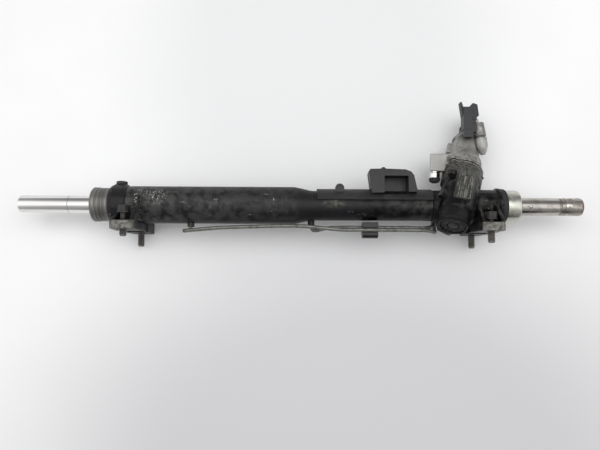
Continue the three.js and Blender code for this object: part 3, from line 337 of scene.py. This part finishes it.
def cast_paint():
    """Satin black paint on cast metal, chalky in places and scuffed through on ribs and ears."""
    s = Surface("cast_black", PAINT, 0.44)
    s.layer(s.noise(28, 0.35, 0.75), colour=(0.006, 0.0062, 0.0085), roughness=0.48, strength=0.8)
    mottle = s.noise(240, 0.5, 0.75, detail=6)
    s.layer(mottle, colour=(0.012, 0.0122, 0.015), roughness=0.53, strength=0.35)
    drawn = s.noise(75, 0.5, 0.7, detail=8, stretch=(0.12, 1, 1))
    s.layer(drawn, colour=(0.011, 0.0112, 0.0135), strength=0.2)

    # Oil leaves the slim tube dark and glossy towards the tower. The hollows get painted shade.
    dark_gloss = s.both(s.band("X", 0.075, 0.32, 0.03), s.noise(26, 0.25, 0.45))
    s.layer(dark_gloss, colour=(0.003, 0.003, 0.0032), roughness=0.3, metallic=0.6, strength=0.8)
    # Painted shade: the concave edges and hollows are darkened.
    s.layer(s.edges(0.49, 0.44), colour=(0.002, 0.002, 0.002), roughness=0.4, strength=0.5)

    # The housing's right end carries road dirt, and the tower more of it below its flange. A broken pale
    # line round the flange's rim is a painted highlight. The pad on the tower is streaked, and the tower's
    # foot is dark.
    dirty = s.both(s.band("X", 0.192, 0.4), s.noise(85, 0.46, 0.68, detail=8))
    s.layer(dirty, colour=(0.046, 0.0455, 0.043), roughness=0.6, metallic=0.2, strength=0.8)
    flange = s.both(s.near_tower(0.034), s.tower_height(0.03, FLANGE_JOINT, 0.002))
    s.layer(flange, colour=(0.105, 0.104, 0.096), roughness=0.6, metallic=0.3, strength=0.85)
    s.layer(s.both(flange, s.noise(300, 0.48, 0.6, detail=7)), colour=(0.02, 0.0195, 0.018), strength=0.75)
    # Painted highlight: a broken pale metal line round the flange's rim.
    rim = s.both(s.near_tower(0.034), s.tower_height(FLANGE_JOINT - 0.0028, FLANGE_JOINT, 0.0008))
    s.layer(s.both(rim, s.noise(200, 0.36, 0.5, detail=5)), colour=(0.42, 0.41, 0.38), metallic=0.6)
    streak = s.both(
        s.noise(620, 0.44, 0.6, detail=2, stretch=(1, 1, 0.045), place=s.tower_place()),
        s.noise(120, 0.3, 0.56, detail=4),
    )
    pad = s.tower_patch((-0.009, 0.015), (-0.012, 0.031))
    s.layer(pad, colour=(0.045, 0.044, 0.038), roughness=0.6, metallic=0.25, strength=0.85)
    s.layer(s.both(pad, streak), colour=(0.26, 0.255, 0.23), roughness=0.5, metallic=0.4, strength=0.85)
    foot = s.both(s.near_tower(0.032), s.tower_height(-0.06, -0.024, 0.004), s.noise(60, 0.3, 0.5))
    s.layer(foot, colour=(0.008, 0.008, 0.0078), roughness=0.55, strength=0.85)

    # The turned collar at the tube's left end is bare.
    collar = s.band("X", -0.299, -0.2725, 0.001)
    turned = s.noise(300, 0.35, 0.65, detail=2, stretch=(2.2, 0.02, 0.02))
    s.layer(collar, colour=(0.1, 0.098, 0.092), roughness=0.5, metallic=0.6)
    s.layer(s.both(collar, turned), colour=(0.26, 0.255, 0.24), roughness=0.42, metallic=0.8, strength=0.8)

    # Scuffs: a patch of pale specks by the left mount, small nicks, a rub on the slim tube, and
    # scattered chips and scratches.
    scuff = s.spot((-0.204, 0.011, 0.024), 0.021, (1, 1.3, 0.5))
    for scale, share in ((420, 0.34), (760, 0.3)):
        s.layer(
            s.both(s.specks(scale, 0.42, share), scuff), colour=(0.5, 0.5, 0.49), roughness=0.6,
            metallic=0.3,
        )
    for place, radius, squash in NICKS:
        nick = s.both(s.spot(place, radius, squash), s.specks(560, 0.5, 0.55))
        s.layer(nick, colour=(0.36, 0.36, 0.35), roughness=0.55, metallic=0.3, strength=0.9)
    rub = s.spot((0.048, 0.001, 0.02), 0.017, (0.8, 2.2, 0.6))
    s.layer(s.both(s.noise(170, 0.34, 0.72, detail=9), rub), colour=(0.12, 0.116, 0.095), strength=0.7)
    chips = s.both(s.noise(360, 0.6, 0.66, detail=8), s.noise(36, 0.56, 0.64))
    s.layer(chips, colour=PALE_METAL, roughness=0.5, metallic=0.6, strength=0.5)
    scratches = s.noise(150, 0.66, 0.7, detail=3, stretch=(1, 0.1, 0.5))
    s.layer(s.both(scratches, s.noise(22, 0.5, 0.6)), colour=(0.1, 0.1, 0.095), strength=0.5)

    # Bare metal on the ears' near faces and on the left mount's rib, and bare metal with painted
    # highlights on sharp edges.
    worn = s.noise(200, 0.36, 0.6, detail=7)
    ear = s.both(s.band("Z", 0.0535, 0.07, 0.002), s.band("Y", -0.04, -0.0275, 0.0006))
    s.layer(ear, colour=(0.07, 0.068, 0.06), roughness=0.55, metallic=0.3)
    s.layer(s.both(ear, worn), colour=PALE_METAL, roughness=0.5, metallic=0.5, strength=0.6)
    rib = s.both(s.band("X", -0.2305, -0.2242, 0.0008), s.band("Z", 0.012, 0.05, 0.004))
    s.layer(s.both(rib, s.specks(520, 0.5, 0.5)), colour=(0.4, 0.39, 0.36), roughness=0.5, metallic=0.5)
    # Sharp edges are lightened: partly bare metal, partly painted highlight.
    edge_wear_and_highlight = s.both(s.edges(), s.noise(90, 0.35, 0.6))
    s.layer(edge_wear_and_highlight, colour=(0.2, 0.197, 0.185), roughness=0.45, strength=0.65)
    s.bump(s.noise(900, 0.3, 0.7, detail=5), 0.0002, 0.5)
    s.bump(s.noise(160, 0.3, 0.7, detail=5), 0.0005, 0.15)
    return s.done(Specular_IOR_Level=0.29)


def cast_aluminium():
    """Grey die casting with greasy dirt on its crown and near its flange, and painted shade in its
    hollows.
    """
    s = Surface("cast_aluminium", (0.34, 0.337, 0.32), 0.46, 0.6)
    s.layer(s.noise(60, 0.45, 0.7, detail=5), colour=(0.2, 0.195, 0.175), roughness=0.56)
    s.layer(s.noise(230, 0.54, 0.74, detail=7), colour=(0.09, 0.084, 0.07), roughness=0.7, strength=0.7)
    near = s.near_tower(0.045)
    crown = s.both(near, s.tower_height(0.098, 0.15, 0.008), s.noise(90, 0.38, 0.58, detail=6))
    s.layer(crown, colour=(0.06, 0.056, 0.047), roughness=0.7, strength=0.75)
    low = s.both(near, s.tower_height(0.02, 0.07, 0.008), s.noise(110, 0.4, 0.62, detail=6))
    s.layer(low, colour=(0.1, 0.095, 0.08), roughness=0.7, strength=0.8)
    s.layer(s.edges(), colour=(0.55, 0.54, 0.52), roughness=0.42, strength=0.6)
    # Painted shade: the concave edges and hollows are darkened.
    s.layer(s.edges(0.495, 0.44), colour=(0.03, 0.028, 0.024), roughness=0.7, strength=0.85)
    block = s.both(s.band("X", 0.15, 0.2125, 0.002), s.band("Z", -0.0056, 0, 0.0003))
    s.layer(block, colour=(0.34, 0.33, 0.315), roughness=0.45, metallic=0.5, strength=0.9)
    s.bump(s.noise(700, 0.3, 0.7, detail=5), 0.00025, 0.7)
    return s.done()


def polished_steel():
    """Polished bar steel, fine-ground along the bar, dulled and stained at its right end."""
    s = Surface("polished_steel", (0.78, 0.775, 0.765), 0.055, 1.0)
    s.layer(s.noise(420, 0.4, 0.7, stretch=(0.05, 1, 1)), colour=(0.6, 0.595, 0.58), strength=0.5)
    scribe = s.band("X", -0.3333, -0.3325, 0.0003)
    s.layer(scribe, colour=(0.12, 0.12, 0.12), roughness=0.4, strength=0.8)
    right = s.band("X", 0.2, 0.45, 0.01)
    s.layer(right, colour=(0.5, 0.475, 0.45), roughness=0.15)
    s.layer(s.both(right, s.noise(70, 0.45, 0.65, detail=6)), colour=(0.3, 0.275, 0.245), strength=0.6)
    rusty = s.both(s.band("X", 0.381, 0.405, 0.004), s.noise(180, 0.4, 0.62, detail=7))
    s.layer(rusty, colour=(0.2, 0.165, 0.135), roughness=0.4, metallic=0.5, strength=0.8)
    rings = s.noise(700, 0.4, 0.6, stretch=(1, 0.02, 0.02))
    grooves = s.both(s.band("X", 0.3715, 0.3805, 0.0006), rings)
    s.layer(grooves, colour=(0.12, 0.105, 0.09), roughness=0.5, strength=0.8)
    s.layer(s.band("X", 0.4035, 0.45, 0.0012), colour=(0.15, 0.06, 0.045), roughness=0.5, metallic=0.3)
    mark = s.spot((0.328, -0.002, 0.012), 0.006, (0.5, 1.6, 0.4))
    s.layer(s.both(mark, s.noise(500, 0.45, 0.6)), colour=(0.06, 0.055, 0.05), roughness=0.5)
    return s.done()


def zinc():
    """Bright zinc plating, slightly yellow, with dull blotches."""
    s = Surface("zinc", (0.54, 0.54, 0.48), 0.22, 1.0)
    s.layer(s.noise(130, 0.4, 0.7), colour=(0.62, 0.62, 0.57), roughness=0.34)
    s.layer(s.noise(420, 0.5, 0.7, detail=7), colour=(0.3, 0.3, 0.26), roughness=0.55, strength=0.4)
    return s.done()


def plain_metal(name, colour, roughness, metallic):
    """Bare metal of one colour, duller and darker in patches."""
    s = Surface(name, colour, roughness, metallic)
    dull = tuple(c * 0.55 for c in colour)
    s.layer(s.noise(160, 0.4, 0.7, detail=6), colour=dull, roughness=roughness + 0.2)
    s.bump(s.noise(900, 0.3, 0.7), 0.0001, 0.4)
    return s.done()


def bolt_steel():
    """Browned steel: the heads are painted dark as shade in the ears' pockets, the shanks below the ears
    are paler.
    """
    s = Surface("bolt_steel", (0.028, 0.027, 0.025), 0.48, 0.6)
    # Painted shade: the heads keep the dark base colour, and only the shanks below the ears are made
    # paler.
    shank = s.band("Y", -0.09, -0.0375, 0.001)
    s.layer(shank, colour=(0.17, 0.158, 0.148), roughness=0.5)
    s.layer(s.noise(160, 0.4, 0.7, detail=6), colour=(0.06, 0.055, 0.05), roughness=0.65, strength=0.6)
    s.bump(s.noise(900, 0.3, 0.7), 0.0001, 0.4)
    return s.done()


def moulded(name, colour, roughness, dark_gloss=None):
    """Moulded plastic or rubber, chalky in patches, darker and glossier between two places along Y if
    given.
    """
    s = Surface(name, colour, roughness)
    chalky = tuple(c * 1.7 for c in colour)
    s.layer(s.noise(90, 0.4, 0.7, detail=5), colour=chalky, roughness=roughness + 0.15)
    if dark_gloss:
        dark_tone = tuple(c * 0.3 for c in colour)
        s.layer(s.band("Y", *dark_gloss), colour=dark_tone, roughness=roughness - 0.12, strength=0.8)
    s.bump(s.noise(1200, 0.3, 0.7), 0.00008, 0.5)
    return s.done(Specular_IOR_Level=0.4)


def bench():
    """The pale bench top, with painted shade: a little darker behind the object and more so in front of
    it.
    """
    s = Surface("bench", (0.93, 0.93, 0.932), 0.7)
    s.layer(s.noise(3, 0.4, 0.7), colour=(0.9, 0.9, 0.905))
    # Painted shade on the bench, behind the object and, darker, in front of it.
    s.layer(s.spot((0.03, 0.25, -0.06), 0.5, (1.3, 1, 1)), colour=(0.79, 0.795, 0.8))
    s.layer(s.spot((0.1, -0.4, -0.06), 0.5, (0.75, 1, 1)), colour=(0.62, 0.62, 0.635))
    return s.done()


MATERIALS = {
    "cast_black": cast_paint(),
    "cast_aluminium": cast_aluminium(),
    "polished_steel": polished_steel(),
    "zinc": zinc(),
    "steel": plain_metal("steel", (0.5, 0.49, 0.47), 0.3, 1.0),
    "bronze": plain_metal("bronze", (0.5, 0.36, 0.16), 0.35, 1.0),
    "pipe_steel": plain_metal("pipe_steel", (0.2, 0.2, 0.185), 0.45, 0.7),
    "bolt_steel": bolt_steel(),
    "rubber": moulded("rubber", (0.02, 0.02, 0.021), 0.65),
    "wear_ring": moulded("wear_ring", (0.2, 0.13, 0.09), 0.5),
    "connector_plastic": moulded("connector_plastic", (0.016, 0.0185, 0.0215), 0.42, (0.1, 0.135)),
    # On the black plastic the darker band is painted shade on the pipe clip below the tube.
    "black_plastic": moulded("black_plastic", (0.0125, 0.0128, 0.013), 0.46, (-0.06, -0.02)),
}
SLOT_OF = {node.name: node.data.materials[0].name for node in NODES.values()}

# ---- Pieces --------------------------------------------------------------------------------------


def mesh_of(node, merge_flats=True):
    """The node's surface as one welded mesh, with its flat areas merged into single faces if asked."""
    source = NODES[node].data
    mesh = bpy.data.meshes.new(node + "_skin")
    corners = [vertex.co.copy() for vertex in source.vertices]
    mesh.from_pydata(corners, [], [tuple(face.vertices) for face in source.polygons])
    work = bmesh.new()
    work.from_mesh(mesh)
    bmesh.ops.remove_doubles(work, verts=work.verts, dist=1e-6)
    if merge_flats:
        flat = math.radians(0.5)
        bmesh.ops.dissolve_limit(work, angle_limit=flat, verts=work.verts, edges=work.edges)
    work.to_mesh(mesh)
    work.free()
    return mesh


def stand_for(piece, node):
    """Puts a finished piece in a node's place, on its body and with its material."""
    bpy.context.scene.collection.objects.link(piece)
    piece.data.materials.clear()
    piece.data.materials.append(MATERIALS[SLOT_OF[node]])
    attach(piece, BODY_OF[node])
    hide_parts(node)
    return piece


EDGE_BREAK = 0.0004
SHARP = math.radians(35)  # edges that turn by more than this stay sharp, and are broken


def machined(node):
    """A turned, milled or moulded piece: smooth round faces and small even edge breaks."""
    mesh = mesh_of(node)
    mesh.shade_smooth()
    mesh.set_sharp_from_angle(angle=SHARP)
    piece = stand_for(bpy.data.objects.new(node + "_finish", mesh), node)
    breaks = piece.modifiers.new("edge breaks", "BEVEL")
    breaks.width = EDGE_BREAK
    breaks.segments = 2
    breaks.limit_method = "ANGLE"
    breaks.angle_limit = SHARP
    breaks.harden_normals = True
    return piece


def casting(node, grain=0.001, smoothing=5):
    """A cast piece: one skin with soft fillets where its parts meet."""
    mesh = mesh_of(node)
    piece = stand_for(bpy.data.objects.new(node + "_finish", mesh), node)
    skin = piece.modifiers.new("cast skin", "REMESH")
    skin.mode = "VOXEL"
    skin.voxel_size = grain
    skin.use_smooth_shade = True
    fillets = piece.modifiers.new("fillets", "SMOOTH")
    fillets.factor = 0.5
    fillets.iterations = smoothing
    return piece


def bent(node):
    """A pipe or spring wire, rounded from its faceted sweep."""
    mesh = mesh_of(node, merge_flats=False)
    mesh.shade_smooth()
    piece = stand_for(bpy.data.objects.new(node + "_finish", mesh), node)
    rounding = piece.modifiers.new("rounding", "SUBSURF")
    rounding.levels = rounding.render_levels = 2
    return piece


STEPS_PER_TURN = 18


def helix(name, centre, direction, core, crest, pitch, start, end):
    """A V thread as one winding strip round a core, between two distances along a direction."""
    side = direction.orthogonal().normalized()
    other = direction.cross(side)
    turns = (end - start) / pitch
    count = int(turns * STEPS_PER_TURN)
    points, faces = [], []
    for i in range(count + 1):
        angle = 2 * math.pi * i / STEPS_PER_TURN
        spoke = side * math.cos(angle) + other * math.sin(angle)
        for radius, shift in ((core, -0.5), (crest, 0), (core, 0.5)):
            along = start + pitch * (i / STEPS_PER_TURN + shift)
            points.append(centre + spoke * radius + direction * along)
    for i in range(count):
        a = 3 * i
        faces += [(a, a + 3, a + 4, a + 1), (a + 1, a + 4, a + 5, a + 2)]
    mesh = bpy.data.meshes.new(name)
    mesh.from_pydata(points, [], faces)
    mesh.shade_smooth()
    mesh.set_sharp_from_angle(angle=math.radians(40))
    return mesh


BOLT_RADIUS = 0.005
THREAD = {"pitch": 0.0015, "depth": 0.0006, "length": 0.024, "tip": 0.002}


def threaded_bolt(node):
    """A flange bolt whose shank is cut back to the thread's root and wound with its thread."""
    low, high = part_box(node)
    root = BOLT_RADIUS - THREAD["depth"]
    tip = Vector(((low.x + high.x) / 2, low.y, (low.z + high.z) / 2))
    bolt = machined(node)
    for vertex in bolt.data.vertices:
        offset = vertex.co - tip
        across = Vector((offset.x, 0, offset.z))
        if root < across.length < BOLT_RADIUS * 1.02:
            vertex.co = tip + Vector((0, offset.y, 0)) + across * (root / across.length)
    thread = helix(
        node + "_thread", tip, Vector((0, 1, 0)), root, BOLT_RADIUS, THREAD["pitch"], THREAD["tip"],
        THREAD["length"],
    )
    stand_for(bpy.data.objects.new(node + "_thread", thread), node)


SQUEEZE = 0.0022  # how far the sealant stands out of the flange joint
RIM_FROM = 0.02  # what is further than this from the tower's axis belongs to the bead


def sealant(node):
    """The flange gasket with the dark sealant squeezed out round its rim in an uneven bead."""
    bead = casting(node, 0.0006, 1)
    bake = bead.evaluated_get(bpy.context.evaluated_depsgraph_get())
    mesh = bpy.data.meshes.new_from_object(bake)
    bead.modifiers.clear()
    bead.data = mesh
    for vertex in mesh.vertices:
        offset = vertex.co - TOWER
        outward = offset - TOWER_UP * offset.dot(TOWER_UP)
        if outward.length > RIM_FROM:
            lumps = noise.noise(vertex.co * 330) + 0.5 * noise.noise(vertex.co * 900)
            rise = 0.0009 * noise.noise(vertex.co * 420 + Vector((9, 0, 0)))
            vertex.co += outward.normalized() * SQUEEZE * (0.55 + 0.6 * lumps) + TOWER_UP * rise


add_camera()
add_room()
add_area("overhead", place=(0.0, 0.25, 1.3), aim=(0, 0, 0), size=(1.6, 0.7), power=6.5)
add_floor(bench())

CASTINGS = ["rack_housing", "left_mount", "valve_housing"]
BENT = ["transfer_pipe_left", "transfer_pipe_right", "yoke_spring"]

for name in sorted(NODES):
    if name in CASTINGS:
        casting(name)
    elif name in BENT:
        bent(name)
    elif name.startswith("mount_bolt"):
        threaded_bolt(name)
    elif name == "flange_gasket":
        sealant(name)
    else:
        machined(name)

bpy.context.scene.view_settings.view_transform = "Standard"
